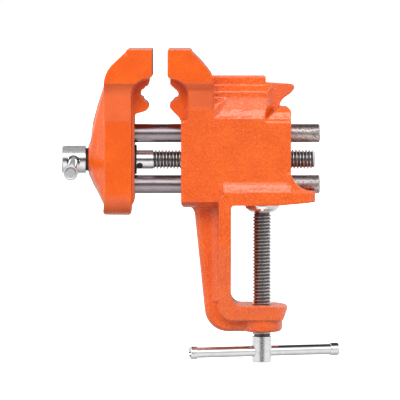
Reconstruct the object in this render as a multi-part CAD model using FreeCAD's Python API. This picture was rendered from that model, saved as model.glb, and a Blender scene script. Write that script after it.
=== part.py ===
"""Clamp-on bench vise with 63.5 mm jaws: every sub-part is one closed solid in its own STEP file.

Frame, in millimetres: the origin is on the clamp screw's axis, in the plane of the seat that
rests on the table. +X points to the rear of the vise, +Z up. The jaw screw runs along X.
"""
import FreeCAD, Part
import math
import os

V = FreeCAD.Vector
X_DIR = V(1, 0, 0)
Y_DIR = V(0, 1, 0)
Z_DIR = V(0, 0, 1)

# Driving dimensions
JAW_WIDTH = 63.5            # 2-1/2 inch jaws
JAW_TOP = 98.1              # height of the jaws above the table seat
JAW_GAP = 9.7               # opening of the jaws as modelled
FIXED_FACE = -59.7          # gripping face of the fixed jaw, along X
BODY_HALF = 22.5            # half width of the body below the jaw
SEAT_HALF = 26.0            # half width of the table seat
ARM_HALF = 17.0             # half width of the lower clamp arm
SCREW_Z = 28.0              # jaw screw axis
ROD_Z = (44.6, 12.2)        # guide rod axes, upper and lower
ROD_R = 6.0
ROD_REAR = 36.6
THREAD_MAJOR = 6.35         # radius over the crests of a 1/2 inch thread, 12 turns to the inch
THREAD_MINOR = 4.95
THREAD_PITCH = 25.4 / 12
SHANK_R = 6.2               # plain part of the jaw screw, in the moving jaw
SPIGOT_R = 4.5              # end of the clamp screw, inside the pad
ARM_TOP = -64.5             # upper face of the lower clamp arm
ARM_BOTTOM = -81.5
BAR_R = 3.5                 # sliding T-bars
BAR_NECK = 0.6              # how far a bar's ends are turned down inside the caps
PIN_R = 1.5
PRESS = 0.01                # bores of pressed-in parts are this much larger on the radius
GUIDE_CLEAR = 0.06          # guide rods in the body
RUN = 0.1                   # running clearance on a radius
THREAD_CLEAR = 0.2          # clearance round a thread's crests

# Sizes that follow
JAW_HALF = JAW_WIDTH / 2
MOVING_FACE = FIXED_FACE - JAW_GAP
BODY_FRONT = -51.4
BODY_REAR = 17.8
CHEEK_BACK = -82.5          # rear face of the moving jaw's cheeks
PAD_BACK = -80.7            # rear face of its raised inner pad
CHEEK_FRONT = -99.6
BOSS_FACE = -110.5          # flat in the middle of the round boss
BOSS_RIM = -109.6
BOSS_R = 11.3
RIB_HALF = 15.0             # half width of the pipe jaws and the inner pad
HEAD_FRONT = -127.0
HEAD_REAR = -111.9
HEAD_R = 9.1
THREAD_START = -71.1
THREAD_END = 33.3
NUT_R = 8.5
NUT_FRONT = -36.0
NUT_REAR = -18.0
NUT_MIDDLE = (NUT_FRONT + NUT_REAR) / 2
SET_SCREW_R = 2.4
ROD_FRONT = -97.0
ROD_PIN_X = -90.5
ROD_PIN_INNER = -9.0
ROD_PIN_OUTER = 22.7
WASHER_THICK = 1.2
RETAINING_PIN_X = -77.5
RETAINING_PIN_R = 1.9
RETAINING_PIN_HALF = 7.0
RETAINING_PIN_TILT = 36.0   # degrees by which its near end points down
HANDLE_TILT = 6.5           # degrees by which the main bar's near end hangs down
HANDLE_X = -119.4
HANDLE_NEAR = 52.0          # from the screw's axis to the near end
HANDLE_FAR = 30.0
HANDLE_DROP = 0.5           # the bar lies this much below its hole's axis
HANDLE_HOLE_R = 4.15
HANDLE_CAP_R = 4.6
HANDLE_CAP_LENGTH = 5.0
CLAMP_YAW = 14.0            # degrees by which the clamp bar is turned from X
CLAMP_HEAD_R = 6.2
CLAMP_HEAD_TOP = -84.7
CLAMP_HEAD_BOTTOM = -101.2
CLAMP_BAR_Z = -94.1
CLAMP_BAR_LEFT = 47.2       # from the screw's axis to each end, as the bar lies
CLAMP_BAR_RIGHT = 50.8
CLAMP_CAP_R = 4.2
CLAMP_CAP_LEFT = 4.8        # lengths of its caps
CLAMP_CAP_RIGHT = 6.0
PAD_R = 11.0
PAD_TOP = -0.15
PAD_BOTTOM = -6.0
SEAT_SPOT_R = 12.0          # spot face in the seat, over the pad
SEAT_SPOT_DEPTH = 0.4


def corner_arc(before, corner, after, radius):
    """Start, middle and end of the arc that rounds a corner between two straight runs."""
    u0, v0 = corner
    d1 = ((before[0] - u0) / math.dist(before, corner), (before[1] - v0) / math.dist(before, corner))
    d2 = ((after[0] - u0) / math.dist(after, corner), (after[1] - v0) / math.dist(after, corner))
    half_angle = math.acos(d1[0] * d2[0] + d1[1] * d2[1]) / 2
    run = radius / math.tan(half_angle)
    bisector = ((d1[0] + d2[0]) / (2 * math.cos(half_angle)), (d1[1] + d2[1]) / (2 * math.cos(half_angle)))
    to_middle = radius / math.sin(half_angle) - radius
    return ((u0 + d1[0] * run, v0 + d1[1] * run),
            (u0 + bisector[0] * to_middle, v0 + bisector[1] * to_middle),
            (u0 + d2[0] * run, v0 + d2[1] * run))


def face_of(path, place):
    """Planar face from a closed path.

    (u, v) is reached by a straight run, (u, v, r) is a corner rounded to the radius r, and
    (mu, mv, u, v) is reached by an arc through (mu, mv).
    """
    edges = []
    last = path[0][-2:]

    def straight_to(end):
        if math.dist(last, end) > 1e-6:
            edges.append(Part.makeLine(place(*last), place(*end)))

    def arc_to(middle, end):
        edges.append(Part.Arc(place(*last), place(*middle), place(*end)).toShape())

    for step, following in zip(path[1:] + [path[0][-2:]], path[2:] + [path[0][-2:]] * 2):
        if len(step) == 3:
            start, middle, end = corner_arc(last, step[:2], following[:2], step[2])
            straight_to(start)
            last = start
            arc_to(middle, end)
            last = end
        elif len(step) == 4:
            arc_to(step[:2], step[2:])
            last = step[2:]
        else:
            straight_to(step)
            last = step
    return Part.Face(Part.Wire(edges))


def along_y(path, half):
    """Outline in XZ, extruded by half to each side of the middle plane."""
    return face_of(path, lambda x, z: V(x, -half, z)).extrude(V(0, 2 * half, 0))


def along_x(path, x0, x1):
    """Half outline in YZ, from the middle plane at the top to the middle plane at the bottom."""
    right = face_of(path, lambda y, z: V(x0, y, z)).extrude(V(x1 - x0, 0, 0))
    left = face_of(path, lambda y, z: V(x0, -y, z)).extrude(V(x1 - x0, 0, 0))
    return right.fuse(left).removeSplitter()


def along_z(path, z0, z1):
    """Outline in XY, extruded from z0 to z1."""
    return face_of(path, lambda x, y: V(x, y, z0)).extrude(V(0, 0, z1 - z0))


def rod_x(radius, x0, x1, z):
    return Part.makeCylinder(radius, x1 - x0, V(x0, 0, z), X_DIR)


def lathe(path):
    """Half outline (radius, height) turned about Z."""
    return face_of(path, lambda r, z: V(r, 0, z)).revolve(V(0, 0, 0), Z_DIR, 360)


def rounded_section(x, z_low, z_high, half, corner):
    """Rounded rectangle across X."""
    cz = (z_low + z_high) / 2
    a = half - corner
    b = (z_high - z_low) / 2 - corner
    diag = corner * math.sqrt(0.5)
    edges = []
    for start, sy, sz in ((0, 1, 1), (1, -1, 1), (0, -1, -1), (1, 1, -1)):
        side = (V(x, sy * (a + corner), cz + sz * b), V(x, sy * a, cz + sz * (b + corner)))
        middle = V(x, sy * (a + diag), cz + sz * (b + diag))
        first, second = side if start == 0 else side[::-1]
        edges.append((first, middle, second))
    loop = []
    for (first, middle, second), following in zip(edges, edges[1:] + edges[:1]):
        loop.append(Part.Arc(first, middle, second).toShape())
        loop.append(Part.makeLine(second, following[0]))
    return Part.Wire(loop)


# Screw threads

def thread_section(major, minor):
    """Cross-section of a single-start thread: root arc, rising flank, crest arc, falling flank."""
    root_share = 0.2
    crest_share = 0.125
    flank = math.pi * (1 - root_share - crest_share)
    root = 2 * math.pi * root_share
    crest = 2 * math.pi * crest_share

    def at(radius, angle):
        return V(radius * math.cos(angle), radius * math.sin(angle), 0)

    def arc(radius, start, end):
        return Part.Arc(at(radius, start), at(radius, (start + end) / 2), at(radius, end)).toShape()

    def spiral(r0, r1, start):
        steps = 8
        curve = Part.BSplineCurve()
        curve.interpolate([at(r0 + (r1 - r0) * i / steps, start + flank * i / steps)
                           for i in range(steps + 1)])
        return curve.toShape()

    return Part.Wire([arc(minor, 0, root),
                      spiral(minor, major, root),
                      arc(major, root + flank, root + flank + crest),
                      spiral(major, minor, root + flank + crest)])


def thread_rod(length):
    """Right-hand threaded rod along +Z from z = 0, at least as long as asked."""
    turns = math.ceil(length / THREAD_PITCH)
    sweep = Part.BRepOffsetAPI.MakePipeShell(Part.Wire(Part.makeLine(V(0, 0, 0), V(0, 0, THREAD_PITCH))))
    guide = Part.makeHelix(THREAD_PITCH, THREAD_PITCH, 10.0)
    sweep.setAuxiliarySpine(Part.Wire(guide.Edges), True, 0)
    sweep.setTolerance(1e-4, 1e-4, 1e-2)
    sweep.add(thread_section(THREAD_MAJOR, THREAD_MINOR))
    sweep.build()
    sweep.makeSolid()
    faces = sorted(sweep.shape().Faces, key=lambda f: f.CenterOfMass.z)
    bottom, sides, top = faces[0], faces[1:-1], faces[-1]
    pieces = [bottom, top.translated(V(0, 0, (turns - 1) * THREAD_PITCH))]
    for turn in range(turns):
        pieces += [side.translated(V(0, 0, turn * THREAD_PITCH)) for side in sides]
    skin = Part.makeCompound(pieces)
    skin.sewShape()
    rod = Part.makeSolid(skin.Shells[0])
    if rod.Volume < 0:
        rod.reverse()
    return rod


def pointed_thread(length, start_cut, end_cut):
    """Threaded rod of exactly this length, its ends coned down over the given lengths."""
    outside = THREAD_MAJOR + 2
    slope = outside - THREAD_MINOR
    envelope = lathe([(0, 0.3), (THREAD_MINOR, 0.3), (outside, 0.3 + start_cut * slope),
                      (outside, length + 0.3 - end_cut * slope), (THREAD_MINOR, length + 0.3),
                      (0, length + 0.3)])
    rod = thread_rod(length + 2).common(envelope)
    return rod.Solids[0].translated(V(0, 0, -0.3))


# Body casting: fixed jaw, housing of the screw and rods, anvil, table seat and clamp frame

def fixed_jaw():
    """Jaw block and pipe jaw, with the arch cut through the cheeks on both sides."""
    top = JAW_TOP
    arch_x, arch_z, arch_r = -57.3, 69.2, 10.4
    arch_45 = arch_r * math.sqrt(0.5)
    cheeks = along_y([(FIXED_FACE, top), (-45.1, top), (-44.3, 96.2), (-38.9, 90.9, -31.8, 82),
                      (-31.0, 70), (-31.0, 50), (BODY_FRONT, 50), (arch_x + arch_r, 55),
                      (arch_x + arch_r, arch_z),
                      (arch_x + arch_45, arch_z + arch_45, arch_x - 0.7, arch_z + arch_r),
                      (FIXED_FACE, 80.9)], JAW_HALF)
    notch = [(-58.2, 82), (-58.2, 75.4), (-57.1, 75.2), (-56.9, 74.0), (-55.7, 73.8), (-55.5, 72.7),
             (-54.1, 72.4), (-52.8, 69.7), (-53.7, 67.4), (-55.5, 67.1), (-56.8, 65.1), (-58.0, 64.3),
             (-58.6, 62.5, -58.0, 60.6), (-56.3, 58.7), (-52.7, 55.1), (BODY_FRONT, 52.6), (BODY_FRONT, 48)]
    pipe_jaw = along_y(notch + [(-44, 48), (-44, 82)], RIB_HALF)
    undercut = along_x([(0, top), (JAW_HALF, top), (JAW_HALF, 77.2), (30.2, 75.0, 27.8, 72.4),
                        (23.2, 62.2), (BODY_HALF, 60.0), (BODY_HALF, 48), (0, 48)], -62, -30)
    return cheeks.common(undercut).fuse(pipe_jaw)


def jaw_to_ledge():
    """Slope that runs from the jaw's rear edge into the ledge on each side."""
    plan = along_z([(-38, -BODY_HALF), (-31.2, -BODY_HALF), (-23.0, -16.8), (-23.0, 16.8),
                    (-31.2, BODY_HALF), (-38, BODY_HALF)], 48, 68)
    return plan.common(along_x([(0, 67.5), (16.2, 67.5), (19.5, 64.0), (BODY_HALF, 58.5), (BODY_HALF, 48),
                                (0, 48)], -40, -20))


def housing():
    """Block that carries the nut and guides the rods."""
    wall = along_x([(0, 54), (19.5, 54), (21.9, 52.9, BODY_HALF, 50.5), (BODY_HALF, 2), (0, 2)],
                   BODY_FRONT, BODY_REAR)
    front_lump = along_x([(0, 16), (BODY_HALF, 16), (BODY_HALF, 10.5), (18.4, 1.3, 9.0, -2.0), (0, -2.0)],
                         BODY_FRONT, -25.0)
    trim = along_y([(BODY_FRONT, 60), (BODY_FRONT, 1.0), (-50.5, -1.1, -48.4, -2.0), (20, -2.0), (20, 60)],
                   JAW_HALF)
    return wall.fuse(front_lump).common(trim)


def anvil():
    """Raised pad behind the jaw, the ledge below it and the slope down to the housing."""
    pad = along_x([(0, 81.1), (10.3, 81.1), (11, 80.4), (11, 74.5), (0, 74.5)], -40.0, 2.1)
    ledge = along_x([(0, 75.2), (11, 75.2), (15.3, 72.0), (16.0, 71.0), (16.0, 68.3),
                     (18.2, 61.5, BODY_HALF, 54.6), (BODY_HALF, 49), (0, 49)], -40.0, 6.0)
    plan = along_z([(-41, -24), (0.8, -24), (2.2, -18), (6.0, -10.0), (6.0, 10.0), (2.2, 18), (0.8, 24),
                    (-41, 24)], 48, 76)
    return pad.fuse(ledge.common(plan))


def horn():
    """Short beak that tapers out over the rear of the housing."""
    side = along_y([(-2, 77.2), (3.4, 76.8), (18.4, 75.9), (20.1, 75.0, 20.3, 72.6), (17.9, 70.0),
                    (15.3, 68.2), (12.3, 65.6, 10.8, 60.0), (9.3, 54), (-2, 54)], 12)
    plan = along_z([(-3, -10.8), (3, -10.6), (17.5, -4.4), (20.6, 0, 17.5, 4.4), (3, 10.6), (-3, 10.8)], 50, 80)
    return side.common(plan)


def rear_hump():
    """Raised rear shoulder of the housing."""
    side = along_y([(2.8, 54.4), (10.0, 62.0), (14.2, 61.6), (17.2, 60.3, BODY_REAR, 56.0),
                    (BODY_REAR, 46), (2.8, 46)], BODY_HALF)
    ends = along_x([(0, 62.5), (8.5, 62.5), (12.5, 61.5), (17.5, 59.0), (20.6, 53.5, BODY_HALF, 46), (0, 46)],
                   0, 20)
    return side.common(ends)


def seat_and_clamp_flange():
    """Table plate, wide inner flange of the clamp frame and the arm that carries the clamp screw."""
    inner = -19.85
    band = along_y([(-17.9, 0), (10.0, 0), (33.0, 2.1), (33.0, 8.8), (-20.5, 8.2),
                    (-25.6, 6.1, -27.7, 1.5), (-27.7, -62.5), (-25.2, -70.6, -18.0, -73.6),
                    (13.2, -73.6), (16.5, -66.0), (15.6, -65.0), (14.4, ARM_TOP), (-11.5, -63.9),
                    (-17.6, -62.0, inner, -56.5), (inner, -2.0), (-19.3, -0.6, -17.9, 0)], SEAT_HALF)
    taper = along_x([(0, 10), (SEAT_HALF, 10), (SEAT_HALF, -26), (13.5, -76), (0, -76)], -30, 36)
    plan = along_z([(-30, -SEAT_HALF), (29, -SEAT_HALF), (33.0, -22), (33.0, 22), (29, SEAT_HALF),
                    (-30, SEAT_HALF)], -3, 10)
    arm_plan = along_z([(-30, -30), (-14, -30), (-14, -ARM_HALF), (7.7, -ARM_HALF),
                        (16.6, 0, 7.7, ARM_HALF), (-14, ARM_HALF), (-14, 30), (-30, 30)], -80, -3)
    return band.common(taper).common(plan.fuse(arm_plan))


def seat_gusset():
    """Slope between the housing's walls and the plate, and the flare at its rear."""
    sides = along_x([(0, 18), (BODY_HALF, 18), (22.9, 13.5, 24.0, 11.8), (SEAT_HALF, 8.2), (0, 5)],
                    -25.0, BODY_REAR)
    flare = along_y([(16, 19.8), (BODY_REAR, 19.8), (22.6, 12.2, 33.0, 8.8), (33.0, 5), (16, 5)], 23.5)
    return sides.fuse(flare)


def clamp_web():
    """Outer web of the clamp frame, its fillets to the flange and the clamp screw's boss."""
    half = 6.5
    nose = 4.5
    web = along_y([(-25, 4), (-43.9, 4), (-35.0, ARM_BOTTOM, 15.0), (0, ARM_BOTTOM), (0, -66), (-25, -66)],
                  half)
    outer = [e for e in web.Edges if e.BoundBox.YLength < 1e-6
             and (e.CenterOfMass.x < -35 or e.CenterOfMass.z < -72)]
    web = web.makeFillet(nose, outer)
    throat = along_y([(-46.8, 1), (-46.8, -1.9), (-44.3, -3.0, -43.0, -6.0), (-38, -6.0), (-38, 1)], 4.0)
    fillet = along_z([(-27, -half - 5), (-29.3, -half - 1.6, -33, -half), (-33, half),
                      (-29.3, half + 1.6, -27, half + 5)], -62, 4)
    boss = Part.makeCylinder(13.0, ARM_TOP - 1 - ARM_BOTTOM, V(0, 0, ARM_BOTTOM))
    rim = [e for e in boss.Edges if e.BoundBox.ZMax < ARM_BOTTOM + 1e-3]
    boss = boss.makeFillet(2.6, rim)
    return web.fuse(throat).fuse(fillet).fuse(boss)


def body_casting():
    shape = fixed_jaw()
    for piece in (housing(), anvil(), jaw_to_ledge(), horn(), rear_hump(), seat_and_clamp_flange(),
                  seat_gusset(), clamp_web()):
        shape = shape.fuse(piece)
    shape = shape.removeSplitter()
    for z in ROD_Z:
        shape = shape.cut(rod_x(ROD_R + GUIDE_CLEAR, -56, BODY_REAR, z))
        shape = shape.cut(rod_x(ROD_R + 0.6, BODY_REAR - 0.01, 40, z))
    bore = THREAD_MAJOR + THREAD_CLEAR
    shape = shape.cut(rod_x(bore, -56, 20, SCREW_Z))
    shape = shape.cut(rod_x(NUT_R, NUT_FRONT, 20, SCREW_Z))
    shape = shape.cut(Part.makeCylinder(bore, 30, V(0, 0, ARM_BOTTOM - 5)))
    shape = shape.cut(Part.makeCylinder(SET_SCREW_R + 2 * PRESS, 30, V(NUT_MIDDLE, 6, SCREW_Z), Y_DIR))
    return shape.cut(Part.makeCylinder(SEAT_SPOT_R, SEAT_SPOT_DEPTH))


# Nut in the housing

def main_nut():
    nut = rod_x(NUT_R - PRESS, NUT_FRONT, NUT_REAR, SCREW_Z)
    return nut.cut(rod_x(THREAD_MAJOR + THREAD_CLEAR, NUT_FRONT - 1, NUT_REAR + 1, SCREW_Z))


def nut_set_screw():
    """Grub screw from the far side of the housing down to the nut, with a hexagon socket."""
    outer_end = BODY_HALF - 0.3
    screw = Part.makeCylinder(SET_SCREW_R, outer_end - NUT_R, V(NUT_MIDDLE, NUT_R, SCREW_Z), Y_DIR)
    socket_r = 1.4
    corners = [V(NUT_MIDDLE + socket_r * math.cos(math.radians(a)), outer_end - 2.5,
                 SCREW_Z + socket_r * math.sin(math.radians(a))) for a in range(0, 361, 60)]
    return screw.cut(Part.Face(Part.makePolygon(corners)).extrude(V(0, 5, 0)))


# Moving jaw with its guide rods

def jaw_front():
    """Front of the moving jaw, drawn in from the cheeks to the round boss of the screw."""
    sections = [rounded_section(-97.5, -2.6, 85.0, 22.6, 3.0),
                rounded_section(-100.3, 0.8, 73.5, 20.8, 4.0),
                rounded_section(-104.0, 7.6, 62.9, 16.8, 8.0),
                rounded_section(-107.1, 12.4, 51.8, 14.2, 11.0),
                rounded_section(-108.6, SCREW_Z - 12.2, SCREW_Z + 12.2, 12.2, 12.1)]
    return Part.makeLoft(sections, True, True)


def moving_jaw():
    top = JAW_TOP
    arch_x, arch_z, arch_r = -71.6, 69.2, 10.65
    arch_45 = arch_r * math.sqrt(0.5)
    cheeks = along_y([(MOVING_FACE, top), (-85.2, top), (-85.6, 96.7), (-88.7, 93.8, -93.4, 89.4),
                      (-97.8, 83.4, CHEEK_FRONT, 74.5), (CHEEK_FRONT, 4.0), (-100.5, -4.2),
                      (-100.0, -6.1, -98.0, -6.7), (-85.0, -6.9), (-83.3, -6.3, -82.8, -4.6),
                      (CHEEK_BACK, 1.0), (CHEEK_BACK, arch_z), (arch_x - arch_r, arch_z),
                      (arch_x - arch_45, arch_z + arch_45, arch_x, arch_z + arch_r),
                      (MOVING_FACE, 80.9)], JAW_HALF)
    outline = along_x([(0, top), (JAW_HALF, top), (JAW_HALF, 76.8), (28.3, 72.5, 26.6, 68.5), (23.0, 52.9),
                       (22.8, 50.0), (22.8, 9.5), (19.2, -1.6, 9.0, -7.0), (0, -7.0)], -112, -69)
    pipe_jaw = along_y([(-71.1, 80.6), (-71.3, 77.7), (-72.2, 74.8), (-74.0, 74.5), (-74.3, 73.1),
                        (-75.9, 72.6), (-76.8, 70.8), (-76.9, 68.4), (-75.1, 67.8), (-74.7, 65.9),
                        (-73.2, 65.4), (-72.3, 64.0), (-71.6, 62.1, -72.5, 60.1), (-74.1, 58.9),
                        (-77.7, 57.8), (-80.0, 56.8, PAD_BACK, 54.7), (PAD_BACK, 3.4),
                        (-81.3, 1.0, -83.4, -1.2), (-90, -1.2), (-90, 80.6)], RIB_HALF)
    boss = rod_x(BOSS_R, BOSS_RIM, -100, SCREW_Z)
    rim = [e for e in boss.Edges if e.BoundBox.XMax < BOSS_RIM + 1e-3]
    boss = boss.makeFillet(0.8, rim)
    dome = Part.makeCone(BOSS_R - 1.2, SHANK_R + 1.0, BOSS_RIM - BOSS_FACE, V(BOSS_RIM, 0, SCREW_Z), -X_DIR)
    front = jaw_front().common(outline)
    shape = cheeks.common(outline).fuse(pipe_jaw).fuse(front).fuse(boss).fuse(dome).removeSplitter()
    shape = shape.cut(rod_x(SHANK_R + RUN, BOSS_FACE - 1, PAD_BACK + 1, SCREW_Z))
    for z in ROD_Z:
        shape = shape.cut(rod_x(ROD_R + PRESS, ROD_FRONT, PAD_BACK + 1, z))
        shape = shape.cut(rod_pin_hole(z))
    return shape


def rod_pin_hole(z):
    return Part.makeCylinder(PIN_R + PRESS, 40, V(ROD_PIN_X, ROD_PIN_INNER, z), Y_DIR)


def guide_rod(z):
    rod = rod_x(ROD_R, ROD_FRONT, ROD_REAR, z)
    rod = rod.makeChamfer(0.8, [e for e in rod.Edges if e.BoundBox.XLength < 1e-3])
    return rod.cut(rod_pin_hole(z))


def rod_pin(z):
    return Part.makeCylinder(PIN_R, ROD_PIN_OUTER - ROD_PIN_INNER, V(ROD_PIN_X, ROD_PIN_INNER, z), Y_DIR)


# Jaw screw and what is on it

def handle_direction():
    tilt = math.radians(HANDLE_TILT)
    return V(0, -math.cos(tilt), -math.sin(tilt))


def handle_centre():
    tilt = math.radians(HANDLE_TILT)
    return V(HANDLE_X, 0, SCREW_Z) + V(0, math.sin(tilt), -math.cos(tilt)) * HANDLE_DROP


def retaining_pin(radius=RETAINING_PIN_R):
    tilt = math.radians(RETAINING_PIN_TILT)
    direction = V(0, -math.cos(tilt), -math.sin(tilt))
    start = V(RETAINING_PIN_X, 0, SCREW_Z) - direction * RETAINING_PIN_HALF
    return Part.makeCylinder(radius, 2 * RETAINING_PIN_HALF, start, direction)


def main_screw():
    head = rod_x(HEAD_R, HEAD_FRONT, HEAD_REAR, SCREW_Z)
    head = head.makeFillet(1.2, [e for e in head.Edges if e.BoundBox.XMax < HEAD_FRONT + 1e-3])
    hole_start = V(HANDLE_X, 0, SCREW_Z) - handle_direction() * 20
    head = head.cut(Part.makeCylinder(HANDLE_HOLE_R, 40, hole_start, handle_direction()))
    shank = rod_x(SHANK_R, HEAD_REAR - 0.5, THREAD_START + 2, SCREW_Z)
    thread = pointed_thread(THREAD_END - THREAD_START, 1.0, 1.1)
    thread.rotate(V(0, 0, 0), Y_DIR, 90)
    thread.translate(V(THREAD_START, 0, SCREW_Z))
    screw = thread.fuse(shank).fuse(head)
    return screw.cut(retaining_pin(RETAINING_PIN_R + PRESS))


def washer(x, outer):
    ring = rod_x(outer, x, x + WASHER_THICK, SCREW_Z)
    return ring.cut(rod_x(SHANK_R + RUN, x - 1, x + WASHER_THICK + 1, SCREW_Z))


def bar(start, end, start_cap, end_cap):
    """Straight bar with a short neck at each end that the caps sit on."""
    direction = (end - start).normalize()
    length = (end - start).Length
    recess = 0.7
    rod = Part.makeCylinder(BAR_R, length - start_cap - end_cap, start + direction * start_cap, direction)
    neck = Part.makeCylinder(BAR_R - BAR_NECK, length - 2 * recess, start + direction * recess, direction)
    return rod.fuse(neck)


def bar_cap(end, inward, length, outer, edge):
    """Round cap, pressed on the bar's neck and open at its outer end, which is rounded by edge."""
    inner = BAR_R - BAR_NECK + PRESS
    inside = 0.7
    rounding = 1 - math.sqrt(0.5)
    cap = lathe([(inner, 0), (outer - edge, 0), (outer - rounding * edge, rounding * edge, outer, edge),
                 (outer, length - inside), (outer - rounding * inside, length - rounding * inside,
                                            outer - inside, length), (inner, length)])
    cap.Placement = FreeCAD.Placement(end, FreeCAD.Rotation(Z_DIR, inward))
    return cap


# Clamp screw, its pad and its bar

def clamp_direction():
    yaw = math.radians(CLAMP_YAW)
    return V(math.cos(yaw), math.sin(yaw), 0)


def clamp_screw():
    head = Part.makeCylinder(CLAMP_HEAD_R, CLAMP_HEAD_TOP - CLAMP_HEAD_BOTTOM, V(0, 0, CLAMP_HEAD_BOTTOM))
    head = head.makeFillet(0.8, [e for e in head.Edges if e.BoundBox.ZMax < CLAMP_HEAD_BOTTOM + 1e-3])
    hole_start = V(0, 0, CLAMP_BAR_Z) - clamp_direction() * 20
    head = head.cut(Part.makeCylinder(BAR_R + 0.15, 40, hole_start, clamp_direction()))
    top = PAD_BOTTOM - 0.5
    bottom = CLAMP_HEAD_TOP + 0.1
    thread = pointed_thread(top - bottom, 1.1, 1.1)
    thread.translate(V(0, 0, bottom))
    spigot = Part.makeCylinder(SPIGOT_R, PAD_TOP - 1.9 - (top - 1), V(0, 0, top - 1))
    neck = Part.makeCylinder(SPIGOT_R, 4, V(0, 0, bottom - 1.2))
    return thread.fuse(spigot).fuse(neck).fuse(head)


def clamp_pad():
    """Swivel pad: a flat disc that narrows like a bowl to the collar round the screw's spigot."""
    socket_top = PAD_TOP - 1.6
    return lathe([(0, PAD_TOP), (PAD_R - 0.4, PAD_TOP), (PAD_R, PAD_TOP - 0.4), (PAD_R, -1.3),
                  (10.4, -3.0), (9.0, -4.3), (6.8, -5.6), (5.7, PAD_BOTTOM), (SPIGOT_R + RUN, PAD_BOTTOM),
                  (SPIGOT_R + RUN, socket_top), (0, socket_top)])


def all_parts():
    handle = handle_direction()
    near_end = handle_centre() + handle * HANDLE_NEAR
    far_end = handle_centre() - handle * HANDLE_FAR
    clamp = clamp_direction()
    left_end = V(0, 0, CLAMP_BAR_Z) - clamp * CLAMP_BAR_LEFT
    right_end = V(0, 0, CLAMP_BAR_Z) + clamp * CLAMP_BAR_RIGHT
    return {
        "body_casting": body_casting(),
        "main_nut": main_nut(),
        "nut_set_screw": nut_set_screw(),
        "moving_jaw": moving_jaw(),
        "upper_guide_rod": guide_rod(ROD_Z[0]),
        "lower_guide_rod": guide_rod(ROD_Z[1]),
        "upper_rod_pin": rod_pin(ROD_Z[0]),
        "lower_rod_pin": rod_pin(ROD_Z[1]),
        "main_screw": main_screw(),
        "thrust_washer": washer(BOSS_FACE - WASHER_THICK, 7.3),
        "retaining_washer": washer(PAD_BACK, 9.4),
        "retaining_pin": retaining_pin(),
        "main_handle_bar": bar(near_end, far_end, HANDLE_CAP_LENGTH, HANDLE_CAP_LENGTH),
        "main_handle_cap_near": bar_cap(near_end, -handle, HANDLE_CAP_LENGTH, HANDLE_CAP_R, 0.9),
        "main_handle_cap_far": bar_cap(far_end, handle, HANDLE_CAP_LENGTH, HANDLE_CAP_R, 0.9),
        "clamp_screw": clamp_screw(),
        "clamp_pad": clamp_pad(),
        "clamp_handle_bar": bar(left_end, right_end, CLAMP_CAP_LEFT, CLAMP_CAP_RIGHT),
        "clamp_handle_cap_left": bar_cap(left_end, clamp, CLAMP_CAP_LEFT, CLAMP_CAP_R, 1.2),
        "clamp_handle_cap_right": bar_cap(right_end, -clamp, CLAMP_CAP_RIGHT, CLAMP_CAP_R, 1.2),
    }


os.makedirs("parts", exist_ok=True)
for name, shape in all_parts().items():
    solids = shape.Solids
    print(name, len(solids), shape.isValid(), round(sum(s.Volume for s in solids) / 1000, 2), "cm3")
    solid = solids[0] if len(solids) == 1 else Part.makeCompound(solids)
    solid.exportStep("parts/" + name + ".step")
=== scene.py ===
"""Clamp-on bench vise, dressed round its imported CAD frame. Metres, in the frame's own axes."""
import math

import bmesh
import bpy
import numpy as np
from mathutils import Matrix, Vector, noise


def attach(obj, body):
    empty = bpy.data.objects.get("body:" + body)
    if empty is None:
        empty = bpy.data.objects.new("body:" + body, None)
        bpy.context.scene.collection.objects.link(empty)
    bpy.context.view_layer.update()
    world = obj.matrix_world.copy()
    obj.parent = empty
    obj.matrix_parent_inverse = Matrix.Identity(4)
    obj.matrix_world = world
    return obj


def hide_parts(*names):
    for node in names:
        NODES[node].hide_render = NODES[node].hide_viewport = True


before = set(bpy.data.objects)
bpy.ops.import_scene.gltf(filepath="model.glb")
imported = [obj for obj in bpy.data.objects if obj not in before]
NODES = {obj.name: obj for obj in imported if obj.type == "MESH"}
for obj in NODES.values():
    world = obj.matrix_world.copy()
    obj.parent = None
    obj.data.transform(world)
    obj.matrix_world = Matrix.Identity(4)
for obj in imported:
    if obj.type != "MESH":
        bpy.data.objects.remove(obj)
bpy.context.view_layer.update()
MM = 0.001

# Sizes shared with the CAD source, in millimetres
SCREW_Z = 28.0
BORE_Z = (44.6, SCREW_Z, 12.2)          # upper guide rod, main screw, lower guide rod
THREAD_MAJOR = 6.35
THREAD_MINOR = 4.95

SEGMENTS = 80                           # round a turned part
CORNER_STEPS = 5                        # along a rounded corner of a turned part
ALMOST_HALF = 0.499                     # the most of an edge that one rounded corner takes


# ---------------------------------------------------------------- mesh helpers

def shade_smooth(mesh):
    mesh.polygons.foreach_set("use_smooth", [True] * len(mesh.polygons))


def new_object(name, verts, faces):
    """A smooth-shaded object from its points and faces."""
    mesh = bpy.data.meshes.new(name)
    mesh.from_pydata([tuple(v) for v in verts], [], faces)
    mesh.validate()
    mesh.update()
    shade_smooth(mesh)
    obj = bpy.data.objects.new(name, mesh)
    bpy.context.scene.collection.objects.link(obj)
    return obj


def baked(obj):
    """Applies the object's modifiers to its mesh."""
    graph = bpy.context.evaluated_depsgraph_get()
    mesh = bpy.data.meshes.new_from_object(obj.evaluated_get(graph))
    old = obj.data
    obj.modifiers.clear()
    obj.data = mesh
    mesh.name = obj.name
    bpy.data.meshes.remove(old)
    return obj


def axes_of(direction):
    """Rotation that turns +Z to the direction."""
    return Vector(direction).normalized().to_track_quat("Z", "Y").to_matrix().to_4x4()


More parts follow.
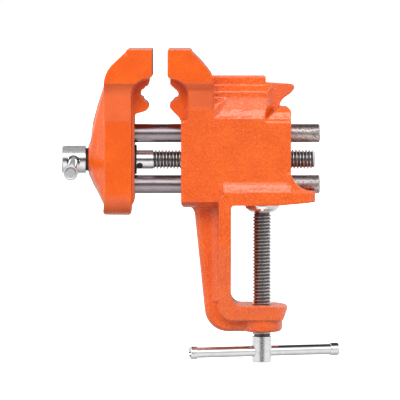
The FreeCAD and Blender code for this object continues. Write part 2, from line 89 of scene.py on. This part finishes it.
def rounded(path):
    """Profile points from (radius, height) or (radius, height, corner radius), in millimetres."""
    points = []
    for i, place in enumerate(path):
        if len(place) == 2:
            points.append(place)
            continue
        corner = Vector(place[:2])
        before = Vector(path[i - 1][:2]) - corner
        after = Vector(path[i + 1][:2]) - corner
        half = before.angle(after) / 2
        run = min(place[2] / math.tan(half), before.length * ALMOST_HALF, after.length * ALMOST_HALF)
        radius = run * math.tan(half)
        start = corner + before.normalized() * run
        end = corner + after.normalized() * run
        inwards = (before.normalized() + after.normalized()).normalized()
        centre = corner + inwards * (radius / math.sin(half))
        points += arc(centre, start - centre, end - centre)
    return points


def arc(centre, first, last):
    """Points on the arc about a centre, from the end of one radius to the end of the other."""
    sweep = first.angle(last)
    points = []
    for k in range(CORNER_STEPS + 1):
        t = k / CORNER_STEPS
        p = centre + (first * math.sin((1 - t) * sweep) + last * math.sin(t * sweep)) / math.sin(sweep)
        points.append((p.x, p.y))
    return points


def lathe(name, path, origin, direction):
    """A ring turned about an axis from a profile that closes on itself, clear of the axis."""
    verts = []
    for radius, height in rounded(path):
        for k in range(SEGMENTS):
            angle = 2 * math.pi * k / SEGMENTS
            verts.append((radius * math.cos(angle), radius * math.sin(angle), height))
    rings = len(verts) // SEGMENTS
    faces = []
    for ring in range(rings):
        low = ring * SEGMENTS
        high = (ring + 1) % rings * SEGMENTS
        for k in range(SEGMENTS):
            n = (k + 1) % SEGMENTS
            faces.append((low + k, low + n, high + n, high + k))
    obj = new_object(name, verts, faces)
    place = Matrix.Translation(Vector(origin) * MM) @ axes_of(direction) @ Matrix.Scale(MM, 4)
    obj.data.transform(place)
    outward(obj.data)
    return obj


def outward(mesh):
    """Merges doubled points and turns every face outwards."""
    bm = bmesh.new()
    bm.from_mesh(mesh)
    bmesh.ops.remove_doubles(bm, verts=bm.verts, dist=1e-7)
    bmesh.ops.recalc_face_normals(bm, faces=bm.faces)
    bm.to_mesh(mesh)
    bm.free()


def weighted(obj, angle):
    """Shading normals that keep flat faces flat beside their rounded edges."""
    obj.data.set_sharp_from_angle(angle=math.radians(angle))
    mod = obj.modifiers.new("weighted", "WEIGHTED_NORMAL")
    mod.keep_sharp = True
    mod.weight = 60


# ---------------------------------------------------------------- node helpers

class Nodes:
    """Short way to build a shader tree."""

    def __init__(self, name):
        self.material = bpy.data.materials.new(name)
        self.material.use_nodes = True
        self.tree = self.material.node_tree
        self.tree.nodes.clear()
        self.out = self.tree.nodes.new("ShaderNodeOutputMaterial")
        self.bsdf = self.tree.nodes.new("ShaderNodeBsdfPrincipled")
        self.link(self.bsdf.outputs[0], self.out.inputs["Surface"])
        self.where = self.tree.nodes.new("ShaderNodeTexCoord").outputs["Object"]

    def link(self, a, b):
        self.tree.links.new(a, b)

    def put(self, socket, value):
        if hasattr(value, "is_output"):
            self.link(value, socket)
        else:
            socket.default_value = value

    def math(self, operation, a, b=0.0):
        made = self.tree.nodes.new("ShaderNodeMath")
        made.operation = operation
        for socket, value in zip(made.inputs, (a, b)):
            self.put(socket, value)
        return made.outputs[0]

    def times(self, a, b):
        return self.math("MULTIPLY", a, b)

    def plus(self, a, b):
        return self.math("ADD", a, b)

    def scaled(self, scale):
        made = self.tree.nodes.new("ShaderNodeMapping")
        self.link(self.where, made.inputs["Vector"])
        made.inputs["Scale"].default_value = scale
        return made.outputs[0]

    def noise(self, vector, scale, detail, roughness):
        made = self.tree.nodes.new("ShaderNodeTexNoise")
        self.link(vector, made.inputs["Vector"])
        made.inputs["Scale"].default_value = scale
        made.inputs["Detail"].default_value = detail
        made.inputs["Roughness"].default_value = roughness
        return made.outputs[0]

    def voronoi(self, vector, scale):
        made = self.tree.nodes.new("ShaderNodeTexVoronoi")
        self.link(vector, made.inputs["Vector"])
        made.inputs["Scale"].default_value = scale
        return made.outputs["Distance"]

    def ramp(self, factor, *stops):
        made = self.tree.nodes.new("ShaderNodeValToRGB")
        self.put(made.inputs[0], factor)
        elements = made.color_ramp.elements
        while len(elements) < len(stops):
            elements.new(0.5)
        for element, (at, value) in zip(elements, stops):
            element.position = at
            element.color = (*value, 1) if isinstance(value, tuple) else (value, value, value, 1)
        return made.outputs[0]

    def spread(self, value, low, high, to_low=0.0, to_high=1.0):
        made = self.tree.nodes.new("ShaderNodeMapRange")
        made.interpolation_type = "SMOOTHSTEP"
        self.put(made.inputs["Value"], value)
        made.inputs["From Min"].default_value = low
        made.inputs["From Max"].default_value = high
        made.inputs["To Min"].default_value = to_low
        made.inputs["To Max"].default_value = to_high
        return made.outputs["Result"]

    def spread_linear(self, value, low, high):
        made = self.tree.nodes.new("ShaderNodeMapRange")
        self.put(made.inputs["Value"], value)
        made.inputs["From Min"].default_value = low
        made.inputs["From Max"].default_value = high
        return made.outputs["Result"]

    def mix(self, factor, a, b):
        made = self.tree.nodes.new("ShaderNodeMix")
        made.data_type = "RGBA"
        self.put(made.inputs[0], factor)
        self.put(made.inputs[6], (*a, 1) if isinstance(a, tuple) else a)
        self.put(made.inputs[7], (*b, 1) if isinstance(b, tuple) else b)
        return made.outputs[2]

    def bump(self, height, strength, distance):
        made = self.tree.nodes.new("ShaderNodeBump")
        self.put(made.inputs["Height"], height)
        self.put(made.inputs["Strength"], strength)
        made.inputs["Distance"].default_value = distance
        self.link(made.outputs[0], self.bsdf.inputs["Normal"])

    def tinted(self, base, mask, strength, colour):
        """The base, drawn towards a colour by a mask times a strength."""
        return self.mix(self.times(mask, strength), base, colour)

    def xyz(self):
        made = self.tree.nodes.new("ShaderNodeSeparateXYZ")
        self.link(self.where, made.inputs[0])
        return made.outputs

    def set(self, **values):
        for key, value in values.items():
            self.put(self.bsdf.inputs[key.replace("_", " ")], value)


# ---------------------------------------------------------------- materials

# Colours of the enamel, linear
ORANGE = (0.83, 0.100, 0.0015)
ORANGE_BRIGHTER = (0.90, 0.122, 0.003)
ORANGE_SPECK = (0.72, 0.068, 0.001)
# Painted glints: bright specks that stand in for highlights on the hammered skin
ORANGE_GLINT = (0.99, 0.31, 0.06)
# Painted highlight along convex edges
ORANGE_EDGE_HIGHLIGHT = (0.99, 0.33, 0.11)
# Painted shade in concave recesses
ORANGE_RECESS_SHADE = (0.60, 0.040, 0.001)
# Painted shade in hollows and corners, from ambient occlusion
ORANGE_OCCLUSION_SHADE = (0.42, 0.022, 0.001)

# Colours of the metals, linear
OILY_STAIN = (0.16, 0.12, 0.11)
REAR_BRIGHT = (0.56, 0.51, 0.50)
REAR_MOTTLE = (0.17, 0.14, 0.135)
# Painted shade in the roots of the threads
THREAD_ROOT_SHADE = (0.19, 0.165, 0.165)
OXIDE_DARK = (0.018, 0.016, 0.017)
OXIDE_WORN = (0.05, 0.045, 0.045)


def shaded(colour, factor):
    return tuple(min(c * factor, 1) for c in colour)


def rough_area(m):
    """1 where the casting is rough under its enamel, 0 where it is filled smooth. Places in metres."""
    x, _, z = m.xyz()
    behind_jaw = m.spread(x, -0.047, -0.040)
    below_jaw = m.spread(z, 0.066, 0.058)
    area = m.math("MAXIMUM", m.times(behind_jaw, m.spread(x, -0.036, -0.028)), below_jaw)
    return m.times(area, m.spread(x, -0.056, -0.049))


def enamel_relief(m, rough_here):
    """The enamel's hammered skin. Returns its grain, which also varies the gloss."""
    grain = m.noise(m.where, 900.0, 3.0, 0.6)
    pits = m.voronoi(m.where, 1150.0)
    swell = m.noise(m.where, 260.0, 2.0, 0.5)
    height = m.plus(grain, m.times(pits, 0.5))
    height = m.plus(height, m.times(swell, 0.9))
    m.bump(height, m.spread(rough_here, 0.0, 1.0, 0.08, 0.75), 0.00045)
    return grain


def enamel_colour(m, rough_here):
    """Orange with specks where rough, painted glints where rough, painted highlights on edges and painted
    shade in recesses and corners.
    """
    shade = m.noise(m.where, 60.0, 3.0, 0.6)
    base = m.mix(m.spread(shade, 0.35, 0.65), ORANGE, ORANGE_BRIGHTER)
    dark = m.spread(m.noise(m.where, 760.0, 2.0, 0.6), 0.50, 0.38)
    base = m.tinted(base, dark, m.times(rough_here, 0.50), ORANGE_SPECK)
    # Painted glints: bright specks where rough, standing in for highlights on the hammered skin
    glint = m.spread(m.noise(m.where, 1200.0, 1.0, 0.5), 0.58, 0.70)
    base = m.tinted(base, glint, m.times(rough_here, 0.62), ORANGE_GLINT)
    pointed = m.tree.nodes.new("ShaderNodeNewGeometry").outputs["Pointiness"]
    # Painted highlight on convex edges, found by pointiness
    base = m.tinted(base, m.spread(pointed, 0.52, 0.60), 0.45, ORANGE_EDGE_HIGHLIGHT)
    # Painted shade in concave recesses, found by pointiness
    base = m.tinted(base, m.spread(pointed, 0.485, 0.42), 0.5, ORANGE_RECESS_SHADE)
    # Painted shade: darker where ambient occlusion finds hollows and corners
    occlusion_shade = m.tree.nodes.new("ShaderNodeAmbientOcclusion")
    occlusion_shade.samples = 8
    occlusion_shade.inputs["Distance"].default_value = 0.014
    return m.tinted(base, m.spread(occlusion_shade.outputs["AO"], 0.62, 0.20), 0.75, ORANGE_OCCLUSION_SHADE)


def orange_enamel():
    """Glossy orange enamel over a sand casting: rough on the body, filled smooth on the jaws."""
    m = Nodes("orange_enamel")
    rough_here = rough_area(m)
    grain = enamel_relief(m, rough_here)
    base = enamel_colour(m, rough_here)
    m.set(Base_Color=base, Roughness=m.spread(grain, 0.3, 0.7, 0.20, 0.32))
    m.set(Coat_Weight=0.6, Coat_Roughness=0.09, Coat_IOR=1.5, Specular_IOR_Level=0.35)
    return m.material


def ground_steel(name, base, streak_scale):
    """Bar steel: drawn streaks along X, darker handling stains, mottled scale at the rear ends."""
    m = Nodes(name)
    x = m.xyz()[0]
    streaks = m.noise(m.scaled((streak_scale, 2200, 2200)), 1.0, 3.0, 0.6)
    stain = m.noise(m.scaled((160, 420, 420)), 1.0, 4.0, 0.65)
    mottle = m.noise(m.where, 900.0, 4.0, 0.7)
    rear = m.spread(x, 0.012, 0.022)
    tone = m.mix(m.spread(streaks, 0.3, 0.7), shaded(base, 0.78), shaded(base, 1.15))
    tone = m.tinted(tone, m.spread(stain, 0.52, 0.72), 0.45, OILY_STAIN)
    tone = m.mix(rear, tone, REAR_BRIGHT)
    tone = m.tinted(tone, rear, m.spread(mottle, 0.46, 0.64), REAR_MOTTLE)
    rough = m.spread(streaks, 0.3, 0.7, 0.20, 0.34)
    rough = m.plus(rough, m.times(rear, m.spread(mottle, 0.3, 0.7, 0.04, 0.22)))
    m.bump(m.plus(streaks, m.times(mottle, m.times(rear, 1.2))), 0.22, 0.00012)
    m.set(Base_Color=tone, Metallic=1.0, Roughness=rough)
    return m.material


def plated(name, base, rough_low, rough_high, bump_strength):
    """Zinc or chrome plate with fine turning marks and faint clouding."""
    m = Nodes(name)
    cloud = m.noise(m.where, 240.0, 4.0, 0.6)
    fine = m.noise(m.scaled((700, 700, 700)), 1.0, 3.0, 0.6)
    tone = m.mix(m.spread(cloud, 0.3, 0.7), shaded(base, 0.90), base)
    m.set(Base_Color=tone, Metallic=1.0, Roughness=m.spread(fine, 0.3, 0.7, rough_low, rough_high))
    m.bump(fine, bump_strength, 0.00008)
    return m.material


def threaded(name, base, axis_z, rough_low, rough_high):
    """Zinc-plated screw with bright crests over painted shade in its thread roots.

    Its axis runs along X at the height axis_z, or along Z where axis_z is None.
    """
    m = Nodes(name)
    x, y, z = m.xyz()
    across = x if axis_z is None else m.math("SUBTRACT", z, axis_z)
    radius = m.math("SQRT", m.plus(m.times(across, across), m.times(y, y)))
    crest = m.spread(radius, THREAD_MINOR * MM + 0.0001, THREAD_MAJOR * MM - 0.0005)
    cloud = m.noise(m.where, 420.0, 4.0, 0.6)
    fine = m.noise(m.where, 1500.0, 3.0, 0.6)
    bright = m.mix(m.spread(cloud, 0.3, 0.7), shaded(base, 0.84), base)
    # Painted shade: the roots between the crests are darkened by their radius
    m.set(Base_Color=m.mix(crest, THREAD_ROOT_SHADE, bright), Metallic=1.0)
    rough = m.spread(fine, 0.3, 0.7, rough_low, rough_high)
    m.set(Roughness=m.plus(rough, m.spread(crest, 0.0, 0.8, 0.16, 0.0)))
    m.bump(fine, 0.16, 0.00008)
    return m.material


def black_oxide():
    """Oiled black oxide, slightly worn in places."""
    m = Nodes("black_oxide")
    cloud = m.noise(m.where, 500.0, 3.0, 0.6)
    tone = m.mix(m.spread(cloud, 0.35, 0.7), OXIDE_DARK, OXIDE_WORN)
    m.set(Base_Color=tone, Metallic=0.7, Roughness=m.spread(cloud, 0.3, 0.7, 0.32, 0.5))
    m.bump(cloud, 0.2, 0.0001)
    return m.material


ENAMEL = orange_enamel()
ROD_STEEL = ground_steel("rod_steel", (0.36, 0.31, 0.33), 35)
SCREW_ZINC = threaded("screw_zinc", (0.80, 0.79, 0.80), SCREW_Z * MM, 0.14, 0.26)
CLAMP_ZINC = threaded("clamp_zinc", (0.80, 0.80, 0.81), None, 0.22, 0.36)
NUT_ZINC = plated("nut_zinc", (0.66, 0.66, 0.68), 0.20, 0.34, 0.2)
CHROME = plated("bright_chrome", (0.83, 0.83, 0.85), 0.05, 0.11, 0.05)
BLACK = black_oxide()


def painted(obj, material):
    """The object in one material only."""
    obj.data.materials.clear()
    obj.data.materials.append(material)
    return obj


def dress(obj, material, slot, body, *nodes):
    """Paints a piece, moves it with its body and lets it stand in for its CAD nodes."""
    painted(obj, material)
    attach(obj, body)
    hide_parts(*nodes)
    return obj


def keep(node, material):
    """Gives a CAD node that stays a better material."""
    obj = NODES[node]
    for slot in obj.material_slots:
        slot.material = material
    if not obj.material_slots:
        obj.data.materials.append(material)


# ---------------------------------------------------------------- castings

# Unevenness of the cast skin as (height in millimetres, waves per metre)
COARSE_SKIN = (0.075, 420)
FINE_SKIN = (0.05, 900)
SMOOTHING_ROUNDS = 4


def copy_of(node, name):
    """A copy of a CAD node's mesh with its seams merged."""
    bm = bmesh.new()
    bm.from_mesh(NODES[node].data)
    bmesh.ops.remove_doubles(bm, verts=bm.verts, dist=1e-6)
    mesh = bpy.data.meshes.new(name)
    bm.to_mesh(mesh)
    bm.free()
    mesh.materials.clear()
    obj = bpy.data.objects.new(name, mesh)
    bpy.context.scene.collection.objects.link(obj)
    return obj


def soften(obj, voxel):
    """Soft edges all over, by a remesh in voxels of a size in millimetres."""
    remesh = obj.modifiers.new("voxels", "REMESH")
    remesh.mode = "VOXEL"
    remesh.voxel_size = voxel * MM
    remesh.adaptivity = 0.0
    smooth = obj.modifiers.new("smooth", "SMOOTH")
    smooth.factor = 0.5
    smooth.iterations = SMOOTHING_ROUNDS
    baked(obj)


def vectors(mesh, what):
    values = np.empty(len(mesh.vertices) * 3)
    mesh.vertices.foreach_get(what, values)
    return values.reshape(-1, 3)


def roughen(obj, node, rough):
    """Uneven skin where rough(x, y, z) is over 0, kept inside the CAD node's own box."""
    mesh = obj.data
    places = vectors(mesh, "co")
    normals = vectors(mesh, "normal")
    share = rough(places[:, 0] / MM, places[:, 1] / MM, places[:, 2] / MM)
    lift = np.zeros(len(places))
    for i in np.nonzero(share > 0.01)[0]:
        p = Vector(places[i])
        lift[i] = sum(height * noise.noise(p * waves) for height, waves in (COARSE_SKIN, FINE_SKIN))
    places += normals * (lift * share * MM)[:, None]
    corners = np.array([v.co for v in NODES[node].data.vertices])
    places = np.clip(places, corners.min(axis=0), corners.max(axis=0))
    mesh.vertices.foreach_set("co", places.ravel())


def thin_out(obj, most_faces):
    """At most this many triangles."""
    triangles = sum(len(p.vertices) - 2 for p in obj.data.polygons)
    if triangles > most_faces:
        fewer = obj.modifiers.new("fewer", "DECIMATE")
        fewer.ratio = most_faces / triangles
        baked(obj)


def casting(node, name, voxel, most_faces, rough):
    """The CAD casting with the soft edges and uneven skin of a sand casting under enamel."""
    obj = copy_of(node, name)
    soften(obj, voxel)
    roughen(obj, node, rough)
    thin_out(obj, most_faces)
    shade_smooth(obj.data)
    return obj


def step(value, low, high):
    """0 up to low, 1 from high on, smooth between them."""
    t = np.clip((value - low) / (high - low), 0, 1)
    return t * t * (3 - 2 * t)


def away_from_bores(x, y, z):
    """0 in the bores of the rods and screws, 1 outside them."""
    free = np.ones_like(x)
    for axis in BORE_Z:
        free *= step(np.hypot(y, z - axis), 9.2, 10.5)
    free *= step(np.hypot(x, y), 8.0, 9.5)
    return free


def body_rough(x, y, z):
    """Where the body's skin is rough: behind and below its jaw, and clear of the bores. Millimetres."""
    area = np.maximum(step(x, -48, -42) * step(x, -36, -30), step(-z, -66, -58))
    outer_side = (np.abs(y) > 12) * 1.0
    return area * step(x, -56, -50) * np.maximum(away_from_bores(x, y, z), outer_side)


def jaw_rough(x, y, z):
    """Where the moving jaw's skin is a little rough: its front, clear of the screw. Millimetres."""
    return 0.35 * step(-x, 98, 101) * step(np.hypot(y, z - SCREW_Z), 12, 14)


body = casting("body_casting", "body_casting_enamelled", 0.52, 190000, body_rough)
dress(body, ENAMEL, "cast_paint", "body", "body_casting")
jaw = casting("moving_jaw", "moving_jaw_enamelled", 0.48, 130000, jaw_rough)
dress(jaw, ENAMEL, "cast_paint", "moving_jaw_carriage", "moving_jaw")

# ---------------------------------------------------------------- caps of the main T-bar

# Places in millimetres
HANDLE_TILT = math.radians(6.5)
HANDLE_AXIS = Vector((0, -math.cos(HANDLE_TILT), -math.sin(HANDLE_TILT)))
HEAD_CENTRE = Vector((-119.4, 0, SCREW_Z))
BAR_DROP = 0.5                          # how far the bar lies below the middle of the head
ACROSS_BAR = Vector((0, math.sin(HANDLE_TILT), -math.cos(HANDLE_TILT)))
HANDLE_CENTRE = HEAD_CENTRE + ACROSS_BAR * BAR_DROP
NEAR_REACH = 52.0
FAR_REACH = 30.0

CAP_R = 4.6
CAP_LENGTH = 5.0
CAP_INSET = 0.05                        # keeps the cap inside the CAD cap's ends
NECK_R = 2.91                           # bore round the bar's turned-down end
MOUTH_R = 3.5                           # groove round the end of the bar
CAP_PROFILE = [(MOUTH_R, CAP_INSET), (CAP_R, CAP_INSET, 0.95), (CAP_R, CAP_LENGTH, 0.7),
               (NECK_R, CAP_LENGTH), (NECK_R, 1.7), (MOUTH_R, 1.4)]


def handle_cap(end_name, reach):
    """Pressed-on cap with a groove round the end of the bar."""
    inward = -HANDLE_AXIS if reach > 0 else HANDLE_AXIS
    cap = lathe("main_handle_cap_" + end_name + "_turned", CAP_PROFILE, HANDLE_CENTRE + HANDLE_AXIS * reach,
                inward)
    weighted(cap, 40)
    return dress(cap, CHROME, "bright_chrome", "main_handle", "main_handle_cap_" + end_name)


caps = [handle_cap("near", NEAR_REACH), handle_cap("far", -FAR_REACH)]

# ---------------------------------------------------------------- CAD nodes that stay

STAYING = {
    "upper_guide_rod": ROD_STEEL,
    "lower_guide_rod": ROD_STEEL,
    "thrust_washer": BLACK,
    "retaining_washer": BLACK,
    "retaining_pin": BLACK,
    "upper_rod_pin": BLACK,
    "lower_rod_pin": BLACK,
    "nut_set_screw": BLACK,
    "main_nut": NUT_ZINC,
    "main_screw": SCREW_ZINC,
    "clamp_screw": CLAMP_ZINC,
    "main_handle_bar": CHROME,
    "clamp_pad": CHROME,
    "clamp_handle_bar": CHROME,
    "clamp_handle_cap_left": CHROME,
    "clamp_handle_cap_right": CHROME,
}
for node, material in STAYING.items():
    keep(node, material)

# ---------------------------------------------------------------- studio

scene = bpy.context.scene
scene.view_settings.view_transform = "Standard"
scene.view_settings.look = "None"

FLOOR_Z = -0.25
FLOOR_HALF = 30.0
floor_corners = [(-FLOOR_HALF, -FLOOR_HALF, FLOOR_Z), (FLOOR_HALF, -FLOOR_HALF, FLOOR_Z),
                 (FLOOR_HALF, FLOOR_HALF, FLOOR_Z), (-FLOOR_HALF, FLOOR_HALF, FLOOR_Z)]
floor = new_object("studio_floor", floor_corners, [(0, 1, 2, 3)])
paper = Nodes("studio_paper")
paper.set(Base_Color=(0.80, 0.80, 0.80, 1), Roughness=0.9)
paper.set(Emission_Color=(1, 1, 1, 1), Emission_Strength=0.55)
painted(floor, paper.material)
floor.visible_glossy = False
floor.visible_diffuse = False
floor.visible_shadow = False


class Sky(Nodes):
    """Studio surroundings. Metal mirrors soft bands, paint is lit by a smooth dome, the camera sees white."""

    def __init__(self):
        world = bpy.data.worlds.new("studio")
        scene.world = world
        world.use_nodes = True
        self.tree = world.node_tree
        self.tree.nodes.clear()
        out = self.tree.nodes.new("ShaderNodeOutputWorld")
        self.background = self.tree.nodes.new("ShaderNodeBackground")
        self.link(self.background.outputs[0], out.inputs[0])
        self.where = self.tree.nodes.new("ShaderNodeTexCoord").outputs["Generated"]


def bands(sky, value, low, high, stops):
    """Brightness along a value by stops of (place, brightness)."""
    top = max(b for _, b in stops)
    share = sky.spread_linear(value, low, high)
    grey = sky.ramp(share, *[((at - low) / (high - low), b / top) for at, b in stops])
    return sky.math("MULTIPLY", grey, top)


# Angle about X from the front horizon, in degrees, and brightness there
GLOSS_FRONT = [(-180, 0.10), (-168, 0.50), (-145, 0.90), (-110, 0.35), (-70, 0.90), (-35, 1.30), (-18, 0.8),
               (-9, 0.07), (7, 0.06), (18, 0.9), (30, 2.7), (42, 2.5), (58, 0.6), (74, 0.03), (128, 0.03),
               (142, 1.2), (155, 1.6), (168, 0.6), (180, 0.10)]
# Height of the direction and brightness there
GLOSS_SIDE = [(-1, 0.40), (-0.5, 0.80), (-0.1, 1.05), (0.1, 1.10), (0.45, 1.4), (0.75, 0.7), (1, 0.12)]
DOME = [(-1, 0.26), (-0.4, 0.47), (0, 0.83), (0.5, 1.14), (1, 1.3)]
CAMERA_WHITE = (1.02, 1.02, 1.02)


def surroundings():
    """Front bands and side bands for mirrors, the dome for paint, white for the camera."""
    sky = Sky()
    x, y, z = sky.xyz()
    turn = sky.math("ARCTAN2", z, sky.math("MULTIPLY", y, -1.0))
    degrees = sky.math("MULTIPLY", turn, 180 / math.pi)
    front = bands(sky, degrees, -180, 180, GLOSS_FRONT)
    side = bands(sky, z, -1, 1, GLOSS_SIDE)
    gloss = sky.mix(sky.spread(sky.math("ABSOLUTE", x), 0.22, 0.66), front, side)
    dome = bands(sky, z, -1, 1, DOME)
    path = sky.tree.nodes.new("ShaderNodeLightPath")
    seen = sky.mix(path.outputs["Is Glossy Ray"], dome, gloss)
    seen = sky.mix(path.outputs["Is Camera Ray"], seen, CAMERA_WHITE)
    sky.link(seen, sky.background.inputs[0])
    sky.background.inputs[1].default_value = 1.0


surroundings()


def softbox(name, location, target, width, height, power, glossy=True):
    """A rectangular light that faces its target."""
    light = bpy.data.lights.new(name, "AREA")
    light.shape = "RECTANGLE"
    light.size = width
    light.size_y = height
    light.energy = power
    obj = bpy.data.objects.new(name, light)
    scene.collection.objects.link(obj)
    obj.location = location
    obj.rotation_euler = (Vector(target) - Vector(location)).to_track_quat("-Z", "Y").to_euler()
    obj.visible_glossy = glossy
    return obj


CENTRE = Vector((-0.0394, 0.0, 0.0021))
# Name, place, target, width, height and power in watts. None of these shows in reflections.
SOFTBOXES = [
    ("key", (-0.6, -1.5, 1.15), CENTRE, 1.5, 0.7, 10),
    ("fill_low", (0.1, -1.4, -0.1), CENTRE, 1.8, 0.5, 1.5),
    ("back_left", (-1.2, 1.2, 0.9), CENTRE, 0.9, 0.9, 5),
    ("back_right", (1.2, 1.2, 0.9), CENTRE, 0.9, 0.9, 3.5),
    ("floor_wash", (0, 4.5, 2.2), (0, 4.5, FLOOR_Z), 8.0, 6.0, 160),
]
for name, place, target, width, height, power in SOFTBOXES:
    softbox(name, place, target, width, height, power, glossy=False)


def gloss_light(name, place, width, height, power, group, lit):
    """A light that shows only in the gloss of some pieces, which form a named group."""
    light = softbox(name, place, CENTRE, width, height, power)
    light.visible_diffuse = False
    receivers = bpy.data.collections.new(group)
    for obj in lit:
        receivers.objects.link(obj)
    light.light_linking.receiver_collection = receivers


plated_parts = [NODES[node] for node in ("main_handle_bar", "main_screw", "clamp_screw")] + caps
gloss_light("overhead_strip", (-0.04, -0.72, 1.40), 1.6, 0.42, 13, "enamelled", [body, jaw])
gloss_light("overhead_panel", (-0.04, 0.10, 1.4), 2.4, 1.5, 5, "plated_parts", plated_parts)

LENS = 283.5
ELEVATION = math.radians(3.6)
DISTANCE = 2.0
camera = bpy.data.cameras.new("camera")
camera.sensor_width = 36
camera.lens = LENS
camera.clip_start = 0.05
camera.clip_end = 100
eye = bpy.data.objects.new("camera", camera)
scene.collection.objects.link(eye)
eye.location = CENTRE + Vector((0, -math.cos(ELEVATION), math.sin(ELEVATION))) * DISTANCE
eye.rotation_euler = (CENTRE - eye.location).to_track_quat("-Z", "Y").to_euler()
scene.camera = eye
